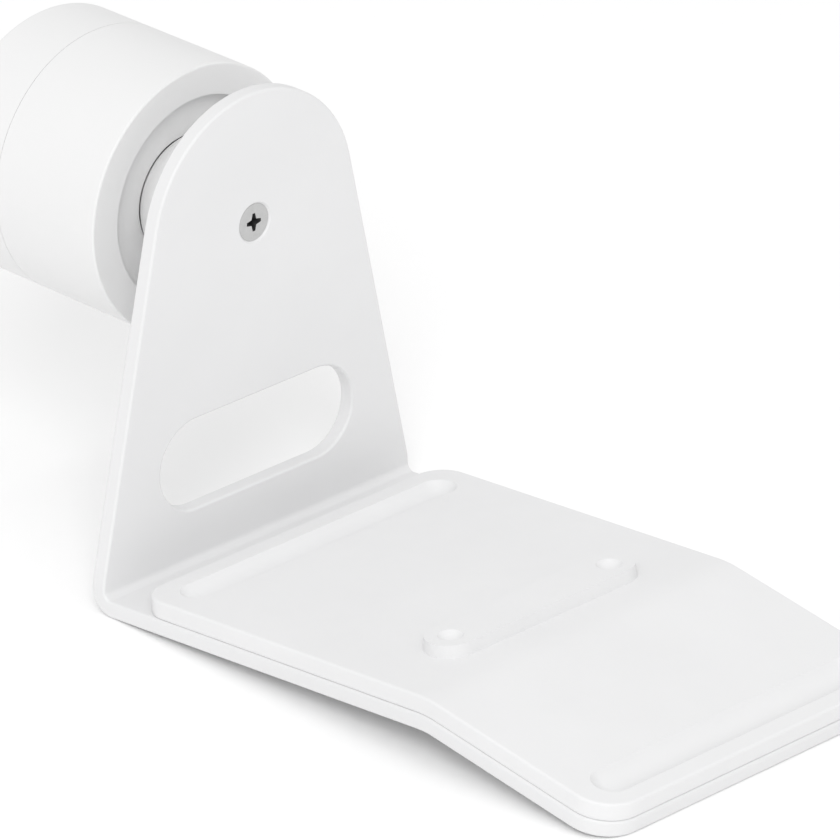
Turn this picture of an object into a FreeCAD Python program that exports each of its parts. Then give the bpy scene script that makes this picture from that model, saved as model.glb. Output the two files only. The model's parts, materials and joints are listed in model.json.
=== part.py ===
import FreeCAD, Part
import math
import os

from FreeCAD import Placement, Rotation, Vector

# A small drum-shaped baby monitor camera on a bent steel bracket.
# X runs across the bracket, +Y runs from the camera towards the toe of the foot, +Z is up.
# All sizes are in millimetres. Shapes are first built with Y = 0 on the front face of the
# upright and Z = 0 on the resting plane, and are then moved along Y to the part's origin.

# ---------------------------------------------------------------- driving sizes
# Bracket
plate = 3.2                 # sheet thickness
foot_width = 78.0
inner_bend = 1.4            # inside radius between upright and foot
screw_height = 66.2         # resting plane to the camera's fixing screw
crown_radius = 25.0         # round top of the upright
crown_lift = 0.7            # its centre above the screw
rise_angle = 4.5            # the heel half of the foot climbs
rise_length = 82.0
drop_length = 45.0          # the toe half of the foot comes back down
arch_radius = 20.0          # bend between the two halves, on the top face
toe_radius = 8.0
side_blend = 12.0           # curve between the foot's side and the upright's taper
plate_round = 0.5           # softened plate edges
slot_height = 22.8          # resting plane to the slot's middle
slot_reach = 15.3           # middle to the centre of each round end
slot_radius = 9.0

# Grip pad
pad = 3.4
adhesive = 0.1
adhesive_inset = 0.6        # pad edge to adhesive edge
pad_inset = 0.4             # plate edge to pad edge
pad_start = 7.4             # end of the bend to the pad
pad_corner = 6.0
pad_round = 0.5
groove_width = 7.4
groove_depth = 1.8
groove_side = 4.6           # pad edge to the groove's round end
heel_groove = 66.8          # crease of the arch to the groove's centre line
toe_groove = 37.4
block_offset = 12.0         # crease of the arch to the raised block's centre line
block_reach = 20.2          # middle to the centre of each round end
block_radius = 5.1
block_height = 2.4
block_draft = 0.3
dimple_radius = 2.45
dimple_depth = 1.2

# Dome mount and its screw
dome_radius = 15.0
dome_back = 5.5             # plate to the dome's centre
dome_pocket_inner = 5.5
dome_pocket_outer = 10.0
dome_pocket_depth = 7.0
screw_radius = 2.0
screw_head_radius = 3.75
screw_head_sink = 0.25      # how far the head lies below the plate's face
screw_length = 12.0
head_ease = 0.05            # countersink to screw head
screw_clear = 0.25          # hole in the plate to the shank
cross_length = 3.4
cross_width = 0.8
cross_depth = 1.6
dowel_radius = 1.0
dowel_ring = 12.2
dowel_in_plate = 1.6
dowel_in_dome = 3.0

# Camera drum
drum_radius = 26.0
drum_length = 40.2
neck_gap = 12.1             # plate to the drum's rear rim
seam_at = 26.0              # rear rim to the seam between the two shells
seam_gap = 0.1
wall = 2.0
recess_radius = 20.0
recess_depth = 3.0
floor = 2.0
rim_round = 0.4
dome_opening_gap = 0.2      # housing to dome

# Magnetic ball seat
glide_gap = 0.3             # dome to glide disc, and glide disc to seat
glide_disc = 0.6
glide_disc_radius = 5.4
seat_radius = 12.0
seat_web = 1.0
seat_lip_gap = 0.1          # seat's rim behind the pot's rim
magnet_length = 3.6
magnet_radius = 11.8
magnet_bore = 4.0
pot_wall = 1.5
turn_gap = 0.3              # pot to housing, all round and at both ends
boss_wall = 3.8
retainer = 1.5
retainer_bore = 8.0

# Shells
lip = 1.5                   # spigot wall of the rear housing
lip_gap = 0.1
lip_root = 0.7
lip_length = 3.0
seal_section = 0.5          # half the depth of the sealing ring's groove
seal_ease = 0.08            # groove to sealing ring
seal_groove = 1.2
window = 1.4
window_sink = 0.2
window_gap = 0.2
gasket = 0.3
gasket_inset = 0.1
ledge = 1.5
flange = 1.5
flange_drop = 2.1
flange_width = 4.0
post_radius = 2.9
post_inset = 3.2            # bore to the post's centre line
post_collar = 0.7
post_angles = (90, 210, 330)
pillar_radius = 2.2
pillar_angles = (30, 150)

# Boards and stack
board = 1.6
board_gap = 2.0             # bore to the main board's edge
notch_gap = 0.2
stem_room = 0.9             # main board clear of the button's stem
head_room = 1.1             # retainer screw heads to the main board
stack_ring = 14.0
stack_angles = (45, 135, 225, 315)
standoff_radius = 1.6
sensor_board = 1.2
sensor_board_radius = 17.0
optics_length = 12.1        # sensor board's front face to the window's back face
led_stand = 6.0
led_board = 1.0
led_board_radius = 17.6
led_board_bore = 9.2
led_angles = (20, 70, 110, 160, 200, 250, 290, 340)
led_side = 3.0
led_base = 0.8
led_dome = 1.2

# Small screws
small_screw = 0.8
small_head = 1.5
small_head_height = 1.0
thread_gap = 0.05
shank_ease = 0.1            # screw to the hole it passes through
case_shank_ease = 0.3
board_shank = 6.0           # screws into the housing
case_shank = 7.0
stack_shank = 5.0
thread_depth = 6.0
case_thread_depth = 8.0

# Lens, holder and infrared shutter
holder_x = 12.0
holder_z = 7.0
holder_length = 5.4
barrel_radius = 6.0
barrel_head = 7.0
barrel_head_length = 2.6
barrel_length = 8.0
barrel_bore = 3.2
front_lens_radius = 5.5
rear_lens_radius = 3.8
lens_gap = 0.05
shutter_room = 1.0          # sensor board to the shutter's track
shutter_track = 1.4
shutter_plate = 0.8
shutter_gap = 0.3
shutter_half = 7.2
shutter_height = 4.2
shutter_shift = 3.4         # middle of the shutter to each of its glasses
shutter_glass = 3.0
baffle_inner = 7.4
baffle_outer = 9.0
sensor_spot = (-4.0, 4.0, -3.4, 3.4)
sensor_height = 0.6
sensor_room = 5.0           # half width of the hollow over the sensor
lens_to_window = 1.3
front_lens_depth = 1.6      # barrel's front face to the front lens
front_lens_curve = 14.0
front_lens_bulge = 2.2
rear_lens_depth = 1.6
rear_lens_back = 0.2
coil_radius = 2.0
coil_length = 7.0
coil_lift = 2.6             # sensor board to the coil's axis
coil_base = 0.8
coil_cheek = 0.7
coil_frame = 4.2            # bobbin: half length and depth
coil_frame_height = 4.8
ribbon_half = 2.5
ribbon_z = -12.6
ribbon_thickness = 0.3
front_clear = 0.1           # baffle and light guide to the window
status_angle = 180
status_height = 0.8
status_guide = 0.8
microphone_hole = 0.6
microphone_angle = 270
light_sensor_angle = 90

# Speaker, button and power inlet
speaker_x = 9.0
speaker_length = 11.0
speaker_depth = 3.9
speaker_gap = 0.4           # boss to speaker
speaker_back = 1.0          # drum's floor to speaker
speaker_rim = 2.0
speaker_mouth = 0.8
grille_hole = 0.7
grille_pitch = 3.0
button_radius = 2.5
button_gap = 0.3
button_flange = 3.1
button_flange_depth = 0.6
button_stem = 1.1
button_travel = 0.4
button_round = 0.3
button_drop = 2.4           # main board's back face to the button's axis
button_sink = 0.15          # cap below the drum's side
button_play = 0.1           # stem to switch with the button pressed home
plunger_radius = 0.8
plunger_length = 1.2
plunger_inset = 0.6         # main board's edge to the plunger's tip
switch_half = 3.0
switch_length = 3.4
switch_height = 2.8
inlet_x = 4.47
inlet_depth = 3.26
inlet_length = 7.3
inlet_wall = 0.3
inlet_round = 1.6
inlet_gap = 0.45
inlet_sink = 0.7            # bore to the socket's mouth
tongue_width = 6.2
tongue_thickness = 0.7

# Parts on the main board; each spot is x low, x high, z low, z high from the drum's axis
processor_spot = (-5.5, 5.5, -5.5, 5.5)
processor_height = 1.2
thermal_spot = (-5.0, 5.0, -5.0, 5.0)
thermal_height = 0.5
sink_spot = (-8.0, 8.0, -6.0, 6.0)
sink_base = 0.6
fin_length = 1.3
fin_width = 0.8
fin_places = (-6.0, -3.8, -1.6, 0.6, 2.8, 5.2)
memory_spot = (11.6, 18.4, 0.0, 5.6)
memory_height = 1.0
wifi_spot = (-7.0, 7.0, 12.2, 17.8)
wifi_height = 1.8
header_spot = (-6.0, 6.0, -15.2, -12.8)
capacitor_radius = 2.0
capacitor_height = 3.2
capacitor_x = 13.5
capacitor_z = -4.6
antenna_inner = 0.6         # bore to the strip's inner face
antenna_outer = 0.3
antenna_from = 8.0          # rear rim to the strip
antenna_to = 16.0
antenna_angles = (104, 124, 144)

# ---------------------------------------------------------------- derived sizes
rise = math.radians(rise_angle)
bend_z = inner_bend + plate
rise_dir = Vector(0, math.cos(rise), math.sin(rise))
rise_up = Vector(0, -math.sin(rise), math.cos(rise))
bend_end = Vector(0, inner_bend, bend_z) - rise_up * inner_bend
crease = bend_end + rise_dir * rise_length


def level_drop():
    """Slope of the toe half that brings its rounded lower edge onto the resting plane."""
    run = drop_length - plate_round
    depth = plate - plate_round
    return math.asin((crease.z - plate_round) / math.hypot(run, depth)) - math.atan2(depth, run)


drop = level_drop()
drop_dir = Vector(0, math.cos(drop), -math.sin(drop))
drop_up = Vector(0, math.sin(drop), math.cos(drop))
arch_centre = crease - rise_dir * (arch_radius * math.tan((rise + drop) / 2)) - rise_up * arch_radius
pad_top = adhesive + pad
pad_half = foot_width / 2 - pad_inset

dome_centre = Vector(0, -plate - dome_back, screw_height)
rim_y = -plate - neck_gap
dome_depth = neck_gap - dome_back       # dome's centre to the drum's rear rim
bore = drum_radius - wall
floor_back = recess_depth + floor
seat_ball = dome_radius + 2 * glide_gap + glide_disc
pot_radius = seat_radius + pot_wall
pot_front = floor_back + turn_gap
seat_back = seat_ball - dome_depth + seat_web
magnet_back = seat_back + magnet_length
pot_back = magnet_back + pot_wall
boss_bore = pot_radius + turn_gap
boss_radius = boss_bore + boss_wall
boss_end = pot_back + turn_gap
retainer_back = boss_end + retainer
board_at = retainer_back + small_head_height + head_room
board_front = board_at + board
board_radius = bore - board_gap
window_front = drum_length - window_sink
window_back = window_front - window
ledge_at = window_back - gasket
flange_front = ledge_at - flange_drop
flange_back = flange_front - flange
lip_radius = bore - lip_gap
lip_at = seam_at - lip_root
lip_end = seam_at + lip_length
sensor_front = window_back - optics_length
sensor_back = sensor_front - sensor_board
led_back = sensor_front + led_stand
led_front = led_back + led_board
holder_front = sensor_front + holder_length
post_ring = bore - post_inset
pillar_ring = boss_radius + pillar_radius
retainer_ring = boss_bore + boss_wall / 2
speaker_top = -(boss_radius + speaker_gap)
speaker_bottom = speaker_top - speaker_depth
speaker_at = floor_back + speaker_back
button_at = board_at + button_drop
inlet_at = board_front + inlet_depth / 2
inlet_mouth = inlet_sink - bore
plunger_tip = plunger_inset - board_radius
front_lens_at = window_back - lens_to_window - front_lens_depth
barrel_back = window_back - lens_to_window - barrel_length
shutter_at = sensor_front + shutter_room + shutter_gap
seal_at = seam_at + lip_length / 2


# ---------------------------------------------------------------- shape helpers
def face_of(points):
    """Flat face inside a closed run of straight edges."""
    return Part.Face(Part.makePolygon(list(points) + [points[0]]))


def stadium(reach, radius):
    """Face in the XY plane: a straight band with round ends on the X axis."""
    corners = [Vector(-reach, -radius), Vector(reach, -radius),
               Vector(reach, radius), Vector(-reach, radius)]
    edges = [
        Part.makeLine(corners[0], corners[1]),
        Part.Arc(corners[1], Vector(reach + radius, 0), corners[2]).toShape(),
        Part.makeLine(corners[2], corners[3]),
        Part.Arc(corners[3], Vector(-reach - radius, 0), corners[0]).toShape(),
    ]
    return Part.Face(Part.Wire(edges))


def rod(radius, start, end, x=0.0, z=0.0):
    """Cylinder along the drum's axis; start and end are measured forward from the rear rim."""
    base = Vector(x, rim_y - start, screw_height + z)
    return Part.makeCylinder(radius, end - start, base, Vector(0, -1, 0))


def tube(inner, outer, start, end, x=0.0, z=0.0):
    return rod(outer, start, end, x, z).cut(rod(inner, start - 1, end + 1, x, z))


def block(x_low, x_high, z_low, z_high, start, end):
    """Box in the drum, z measured from its axis and start and end from the rear rim."""
    corner = Vector(x_low, rim_y - end, screw_height + z_low)
    return Part.makeBox(x_high - x_low, end - start, z_high - z_low, corner)


def turned(profile):
    """Solid of revolution about the drum's axis from (radius, distance forward) points."""
    points = [Vector(radius, rim_y - at, screw_height) for radius, at in profile]
    axis_point = Vector(0, 0, screw_height)
    return face_of(points).revolve(axis_point, Vector(0, 1, 0), 360)


def ball(radius):
    return Part.makeSphere(radius, dome_centre)


def around(ring, angles):
    """(x, z) places on a circle about the drum's axis."""
    return [(ring * math.cos(math.radians(a)), ring * math.sin(math.radians(a))) for a in angles]


post_places = around(post_ring, post_angles)
pillar_places = around(pillar_ring, pillar_angles)
retainer_places = around(retainer_ring, post_angles)
stack_places = around(stack_ring, stack_angles)


def joined(shapes):
    first, *rest = shapes
    return first.multiFuse(rest).removeSplitter() if rest else first


def group(shapes):
    """Separate solids kept in one node."""
    return Part.makeCompound(shapes)


def softened(shape, radius, wanted):
    """Round the edges that the test picks."""
    return shape.makeFillet(radius, [edge for edge in shape.Edges if wanted(edge)])


def rim_edge(ring, at):
    """Test for the circle of one radius at one distance forward from the rear rim."""
    def wanted(edge):
        box = edge.BoundBox
        flat = abs(box.YMax - box.YMin) < 1e-6 and abs(box.YMax - (rim_y - at)) < 1e-6
        return flat and abs(box.XMax - ring) < 1e-3
    return wanted


def small_screw_at(x, z, seat, length):
    """Pan-head screw whose head stands forward of its seat."""
    head = rod(small_head, seat, seat + small_head_height, x, z)
    shank = rod(small_screw, seat - length, seat, x, z)
    socket = rod(small_screw / 2, seat + small_head_height / 2, seat + small_head_height, x, z)
    return head.fuse(shank).cut(socket)


# ---------------------------------------------------------------- foot helpers
def arch_point(height, up):
    return arch_centre + up * (arch_radius + height)


def foot_run(height, start, end_gap):
    """Edges along the foot at one height over its top face, from heel to toe."""
    first = bend_end + rise_dir * start + rise_up * height
    crest = (rise_up + drop_up).normalize()
    last = crease + drop_dir * (drop_length - end_gap) + drop_up * height
    up_end, down_start = arch_point(height, rise_up), arch_point(height, drop_up)
    return first, last, [
        Part.makeLine(first, up_end),
        Part.Arc(up_end, arch_point(height, crest), down_start).toShape(),
        Part.makeLine(down_start, last),
    ]


def foot_layer(low, high, half_width, start, end_gap):
    """Layer that follows the arched foot between two heights over its top face."""
    low_first, low_last, low_edges = foot_run(low, start, end_gap)
    high_first, high_last, high_edges = foot_run(high, start, end_gap)
    ends = [Part.makeLine(low_first, high_first), Part.makeLine(low_last, high_last)]
    wire = Part.Wire(Part.__sortEdges__(low_edges + high_edges + ends))
    layer = Part.Face(wire).extrude(Vector(2 * half_width, 0, 0))
    layer.translate(Vector(-half_width, 0, 0))
    return layer


def on_foot(shape, slope, up, height, along):
    """Put a shape drawn about the origin onto one half of the foot, along from the crease."""
    forward = Vector(0, math.cos(slope), math.sin(slope))
    place_at = crease + forward * along + up * height
    shape.Placement = Placement(place_at, Rotation(Vector(1, 0, 0), math.degrees(slope)))
    return shape


def corner_edges(shape, half_width, at, up):
    """The two edges through a layer's thickness at one of its ends."""
    picked = []
    for edge in shape.Edges:
        centre = edge.CenterOfMass
        along = abs((edge.Vertexes[-1].Point - edge.Vertexes[0].Point).normalize().dot(up))
        near_end = abs((centre - at).dot(up.cross(Vector(1, 0, 0)))) < 0.01
        if along > 0.999 and near_end and abs(abs(centre.x) - half_width) < 0.01:
            picked.append(edge)
    return picked


# ---------------------------------------------------------------- bracket
def upright():
    """Plate outline: short side curves, straight tapering sides and a round crown, all tangent."""
    half = foot_width / 2
    foot_centre = Vector(half - side_blend, 0, bend_z)
    crown_centre = Vector(0, 0, screw_height + crown_lift)
    apart = crown_centre - foot_centre
    side = math.acos((crown_radius - side_blend) / apart.Length) - math.atan2(apart.z, -apart.x)

    def outline_point(centre, radius, angle, mirror):
        reach = centre.x + radius * math.cos(angle)
        return Vector(mirror * reach, 0, centre.z + radius * math.sin(angle))

    edges, crown_ends, foot_ends = [], [], []
    for mirror in (1, -1):
        low = outline_point(foot_centre, side_blend, 0, mirror)
        middle = outline_point(foot_centre, side_blend, side / 2, mirror)
        high = outline_point(foot_centre, side_blend, side, mirror)
        touch = outline_point(crown_centre, crown_radius, side, mirror)
        edges += [Part.Arc(low, middle, high).toShape(), Part.makeLine(high, touch)]
        crown_ends.append(touch)
        foot_ends.append(low)
    top = crown_centre + Vector(0, 0, crown_radius)
    edges.append(Part.Arc(crown_ends[0], top, crown_ends[1]).toShape())
    edges.append(Part.makeLine(*foot_ends))
    return Part.Face(Part.Wire(Part.__sortEdges__(edges))).extrude(Vector(0, -plate, 0))


def heel_bend():
    """Quarter-round bend that joins the upright to the climbing half of the foot."""
    centre = Vector(0, inner_bend, bend_z)
    outer = inner_bend + plate
    middle = (Vector(0, -1, 0) - rise_up).normalize()
    inside = Part.Arc(centre + Vector(0, -inner_bend, 0), centre + middle * inner_bend, bend_end).toShape()
    outside = Part.Arc(centre + Vector(0, -outer, 0), centre + middle * outer, centre - rise_up * outer)
    ends = [
        Part.makeLine(centre + Vector(0, -inner_bend, 0), centre + Vector(0, -outer, 0)),
        Part.makeLine(bend_end, centre - rise_up * outer),
    ]
    wire = Part.Wire(Part.__sortEdges__([inside, outside.toShape()] + ends))
    bend = Part.Face(wire).extrude(Vector(foot_width, 0, 0))
    bend.translate(Vector(-foot_width / 2, 0, 0))
    return bend


def bracket():
    foot = foot_layer(-plate, 0, foot_width / 2, 0, 0)
    toe = crease + drop_dir * drop_length
    foot = foot.makeFillet(toe_radius, corner_edges(foot, foot_width / 2, toe, drop_up))
    body = joined([upright(), heel_bend(), foot])

    slot = stadium(slot_reach, slot_radius).extrude(Vector(0, 0, plate + 2))
    slot.Placement = Placement(Vector(0, 1, slot_height), Rotation(Vector(1, 0, 0), 90))
    body = softened(body.cut(slot), plate_round, outline_edge)

    sink_top = screw_head_radius + screw_head_sink
    hole = screw_radius + screw_clear
    sink = Part.makeCone(sink_top, hole, sink_top - hole, Vector(0, 0, screw_height), Vector(0, -1, 0))
    shaft = Part.makeCylinder(hole, plate + 2, Vector(0, 1, screw_height), Vector(0, -1, 0))
    return body.cut(sink).cut(shaft).cut(group(dowels(dowel_radius)))


def outline_edge(edge):
    """Edges round the plate's two faces: not those across its thickness or across its width."""
    first, last = edge.Vertexes[0].Point, edge.Vertexes[-1].Point
    across_plate = edge.Length < plate * 1.2 and isinstance(edge.Curve, Part.Line)
    whole_width = abs(abs(last.x - first.x) - foot_width) < 0.01
    return not across_plate and not whole_width


def padded_layer(low, high, inset):
    """Layer over the foot with the pad's rounded outline, drawn in by an inset."""
    half, heel_start, toe_gap = pad_half - inset, pad_start + inset, pad_inset + inset
    layer = foot_layer(low, high, half, heel_start, toe_gap)
    heel_end = bend_end + rise_dir * heel_start
    toe_end = crease + drop_dir * (drop_length - toe_gap)
    layer = layer.makeFillet(pad_corner - inset, corner_edges(layer, half, heel_end, rise_up))
    return layer.makeFillet(toe_radius - toe_gap, corner_edges(layer, half, toe_end, drop_up))


def grip_pad():
    layer = softened(padded_layer(adhesive, pad_top, 0), pad_round, pad_top_edge)
    layer = layer.cut(on_foot(groove(), rise, rise_up, pad_top, -heel_groove))
    layer = layer.cut(on_foot(groove(), -drop, drop_up, pad_top, toe_groove))
    return layer.fuse(on_foot(raised_block(), rise, rise_up, pad_top, -block_offset)).removeSplitter()


def pad_top_edge(edge):
    """Edges that lie wholly on the pad's top face, apart from the two lines across the arch."""
    ends = (edge.Vertexes[0].Point, edge.Vertexes[-1].Point)
    across = isinstance(edge.Curve, Part.Line) and abs(ends[0].x - ends[1].x) > 1
    at_arch = all(abs((point - arch_centre).Length - math.hypot(point.x, arch_radius + pad_top)) < 0.01
                  for point in ends)
    return all(on_pad_top(point) for point in ends) and not (across and at_arch)


def on_pad_top(point):
    on_rise = abs((point - crease).dot(rise_up) - pad_top) < 0.01
    on_drop = abs((point - crease).dot(drop_up) - pad_top) < 0.01
    return on_rise or on_drop


def groove():
    """Round-bottomed, round-ended cutter whose rim lies in the XY plane."""
    half = groove_width / 2
    radius = (half ** 2 + groove_depth ** 2) / (2 * groove_depth)
    reach = pad_half - groove_side - half
    lift = radius - groove_depth
    core = Part.makeCylinder(radius, 2 * reach, Vector(-reach, 0, lift), Vector(1, 0, 0))
    ends = [Part.makeSphere(radius, Vector(side * reach, 0, lift)) for side in (-1, 1)]
    return core.multiFuse(ends)


def raised_block():
    """Drafted block with two round dimples, its foot in the XY plane."""
    base = stadium(block_reach, block_radius).OuterWire
    top = stadium(block_reach, block_radius - block_draft).OuterWire
    top.translate(Vector(0, 0, block_height))
    body = Part.makeLoft([base, top], True, True)
    radius = (dimple_radius ** 2 + dimple_depth ** 2) / (2 * dimple_depth)
    lift = block_height + radius - dimple_depth
    for side in (-1, 1):
        body = body.cut(Part.makeSphere(radius, Vector(side * block_reach, 0, lift)))
    return body


def pad_adhesive():
    return padded_layer(0, adhesive, adhesive_inset)


# ---------------------------------------------------------------- dome and screw
def dowels(radius):
    length = dowel_in_plate + dowel_in_dome
    start = Vector(0, -plate + dowel_in_plate, screw_height)
    places = [start + Vector(side * dowel_ring, 0, 0) for side in (-1, 1)]
    return [Part.makeCylinder(radius, length, place_at, Vector(0, -1, 0)) for place_at in places]


def dome_mount():
    keep = Part.makeBox(4 * dome_radius, 4 * dome_radius, 4 * dome_radius,
                        Vector(-2 * dome_radius, -plate - 4 * dome_radius, screw_height - 2 * dome_radius))
    face = Vector(0, -plate, screw_height)
    back = Vector(0, -1, 0)
    pocket = Part.makeCylinder(dome_pocket_outer, dome_pocket_depth, face, back)
    pocket = pocket.cut(Part.makeCylinder(dome_pocket_inner, dome_pocket_depth, face, back))
    thread = Part.makeCylinder(screw_radius + thread_gap, screw_length, face, back)
    return ball(dome_radius).common(keep).cut(pocket).cut(thread).cut(group(dowels(dowel_radius)))


def dome_screw():
    top = Vector(0, -screw_head_sink, screw_height)
    back = Vector(0, -1, 0)
    cone_length = screw_head_radius - screw_radius
    head = Part.makeCone(screw_head_radius - head_ease, screw_radius, cone_length, top, back)
    shank = Part.makeCylinder(screw_radius, screw_length, top, back)
    arms = [
        Part.makeBox(cross_length, cross_depth, cross_width,
                     top + Vector(-cross_length / 2, -cross_depth, -cross_width / 2)),
        Part.makeBox(cross_width, cross_depth, cross_length,
                     top + Vector(-cross_width / 2, -cross_depth, -cross_length / 2)),
    ]
    return head.fuse(shank).cut(arms[0]).cut(arms[1])


# ---------------------------------------------------------------- magnetic ball seat
def glide_disc_piece():
    shell = ball(dome_radius + glide_gap + glide_disc).cut(ball(dome_radius + glide_gap))
    return shell.common(rod(glide_disc_radius, 0, seat_back))


def ball_seat():
    return rod(seat_radius, pot_front + seat_lip_gap, seat_back).cut(ball(seat_ball))


def ring_magnet():
    return tube(magnet_bore, magnet_radius, seat_back, magnet_back)


def magnet_pot():
    pocket = seat_radius + thread_gap
    profile = [(pocket, pot_front), (pot_radius, pot_front), (pot_radius, pot_back), (0, pot_back),
               (0, magnet_back), (pocket, magnet_back)]
    return turned(profile)


def pot_retainer():
    plate_ring = tube(retainer_bore, boss_radius - 2 * turn_gap, boss_end, retainer_back)
    for x, z in retainer_places:
        plate_ring = plate_ring.cut(rod(small_screw + shank_ease, boss_end - 1, retainer_back + 1, x, z))
    return plate_ring


def retainer_screws():
    return group([small_screw_at(x, z, retainer_back, board_shank) for x, z in retainer_places])


# ---------------------------------------------------------------- drum shells
def rear_housing():
    rim_inner = recess_radius + wall
    profile = [
        (recess_radius, 0), (drum_radius, 0), (drum_radius, seam_at), (lip_radius, seam_at),
        (lip_radius, lip_end), (lip_radius - lip, lip_end), (lip_radius - lip, lip_at), (bore, lip_at),
        (bore, wall), (rim_inner, wall), (rim_inner, floor_back), (boss_radius, floor_back),
        (boss_radius, boss_end), (boss_bore, boss_end), (boss_bore, floor_back), (0, floor_back),
        (0, recess_depth), (recess_radius, recess_depth),
    ]
    body = softened(turned(profile), rim_round, rim_edge(drum_radius, 0))

    outside = rod(lip_radius, floor, flange_back)
    posts = []
    for x, z in post_places:
        posts.append(rod(post_radius, floor_back - 1, flange_back, x, z).common(outside))
        posts.append(rod(post_radius + post_collar, floor_back - 1, board_at, x, z).common(outside))
    posts += [rod(pillar_radius, floor_back - 1, board_at, x, z) for x, z in pillar_places]
    body = joined([body] + posts)

    cuts = [ball(dome_radius + dome_opening_gap), inlet_opening(), button_opening(), socket_notch()]
    cuts += grille_holes()
    thread = small_screw + thread_gap
    case_thread_end = flange_back - case_thread_depth
    cuts += [rod(thread, case_thread_end, flange_back + 1, x, z) for x, z in post_places]
    cuts += [rod(thread, board_at - thread_depth, board_at + 1, x, z) for x, z in pillar_places]
    cuts += [rod(thread, boss_end - thread_depth, boss_end + 1, x, z) for x, z in retainer_places]
    groove_half = seal_groove / 2
    groove_floor = lip_radius - 2 * seal_section
    cuts.append(tube(groove_floor, lip_radius + 1, seal_at - groove_half, seal_at + groove_half))
    return body.cut(group(cuts))


def inlet_opening():
    half, reach = inlet_depth / 2 + inlet_gap, inlet_x - inlet_round
    opening = stadium(reach, half).extrude(Vector(0, 0, wall + 4))
    opening.Placement = Placement(Vector(0, rim_y - inlet_at, screw_height - drum_radius - 1), Rotation())
    return opening


def socket_notch():
    """Gap in the spigot that lets the power socket slide past it."""
    return block(-inlet_x - 1, inlet_x + 1, -lip_radius - 1, -lip_radius + 4, seam_at + 0.01, lip_end + 1)


def button_opening():
    at = Vector(-drum_radius - 1, rim_y - button_at, screw_height)
    return Part.makeCylinder(button_radius + button_gap, wall + 3, at, Vector(1, 0, 0))


def grille_holes():
    holes = []
    for column in range(-2, 3):
        for row in range(-1, 2):
            at = Vector(column * grille_pitch, rim_y - speaker_at - speaker_length / 2 + row * grille_pitch,
                        screw_height - drum_radius - 1)
            holes.append(Part.makeCylinder(grille_hole, wall + 3, at, Vector(0, 0, 1)))
    return holes


def front_shell():
    profile = [
        (bore, seam_at + seam_gap), (drum_radius, seam_at + seam_gap), (drum_radius, drum_length),
        (bore, drum_length), (bore, ledge_at), (bore - ledge, ledge_at), (bore - ledge, flange_front),
        (bore - ledge - flange_width, flange_front), (bore - ledge - flange_width, flange_back),
        (bore, flange_back),
    ]
    body = softened(turned(profile), rim_round * 2, rim_edge(drum_radius, drum_length))
    holes = [rod(small_screw + case_shank_ease, flange_back - 1, flange_front + 1, x, z)
             for x, z in post_places]
    return body.cut(group(holes))


def case_seal():
    section = seal_section - seal_ease
    major = lip_radius - seal_section
    centre = Vector(0, rim_y - seal_at, screw_height)
    return Part.makeTorus(major, section, centre, Vector(0, 1, 0))


def case_screws():
    return group([small_screw_at(x, z, flange_front, case_shank) for x, z in post_places])


def front_window():
    pane = rod(bore - window_gap, window_back, window_front)
    x, z = around(stack_ring, (microphone_angle,))[0]
    return pane.cut(rod(microphone_hole, window_back - 1, window_front + 1, x, z))


def window_gasket():
    return tube(bore - ledge + gasket_inset, bore - window_gap, ledge_at, window_back)


# ---------------------------------------------------------------- main board
def main_board():
    pcb = rod(board_radius, board_at, board_front)
    for x, z in post_places:
        pcb = pcb.cut(rod(post_radius + notch_gap, board_at - 1, board_front + 1, x, z))
    for x, z in pillar_places:
        pcb = pcb.cut(rod(small_screw + shank_ease, board_at - 1, board_front + 1, x, z))
    half = button_stem + stem_room
    slot = block(-drum_radius, stem_room - board_radius, -half, half, board_at - 1, board_front + 1)
    return pcb.cut(slot)


def board_screws():
    return group([small_screw_at(x, z, board_front, board_shank) for x, z in pillar_places])


def processor():
    return block(*processor_spot, board_front, board_front + processor_height)


def thermal_pad():
    start = board_front + processor_height
    return block(*thermal_spot, start, start + thermal_height)


def heat_sink():
    base_at = board_front + processor_height + thermal_height
    fins_at = base_at + sink_base
    x_low, x_high = sink_spot[:2]
    fins = [block(x_low, x_high, z, z + fin_width, fins_at, fins_at + fin_length) for z in fin_places]
    return joined([block(*sink_spot, base_at, fins_at)] + fins)


def memory_chip():
    return block(*memory_spot, board_front, board_front + memory_height)


def wifi_module():
    return block(*wifi_spot, board_front, board_front + wifi_height)


def capacitors():
    top = board_front + capacitor_height
    return group([rod(capacitor_radius, board_front, top, side * capacitor_x, capacitor_z)
                  for side in (-1, 1)])


def board_header():
    return block(*header_spot, board_front, sensor_back)


def usb_socket():
    shell = stadium(inlet_x - inlet_round, inlet_depth / 2).extrude(Vector(0, 0, inlet_length))
    room = stadium(inlet_x - inlet_round, inlet_depth / 2 - inlet_wall)
    room = room.extrude(Vector(0, 0, inlet_length - 1))
    tongue = Part.makeBox(tongue_width, tongue_thickness, inlet_length - 1.5,
                          Vector(-tongue_width / 2, -tongue_thickness / 2, 1))
    socket = shell.cut(room).fuse(tongue)
    socket.Placement = Placement(Vector(0, rim_y - inlet_at, screw_height + inlet_mouth), Rotation())
    return socket


def button_switch():
    edge = 1 - board_radius
    top = board_front + switch_height
    body = block(edge, edge + switch_length, -switch_half, switch_half, board_front, top)
    tip = Vector(plunger_tip, rim_y - button_at, screw_height)
    return body.fuse(Part.makeCylinder(plunger_radius, plunger_length, tip, Vector(1, 0, 0)))


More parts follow.
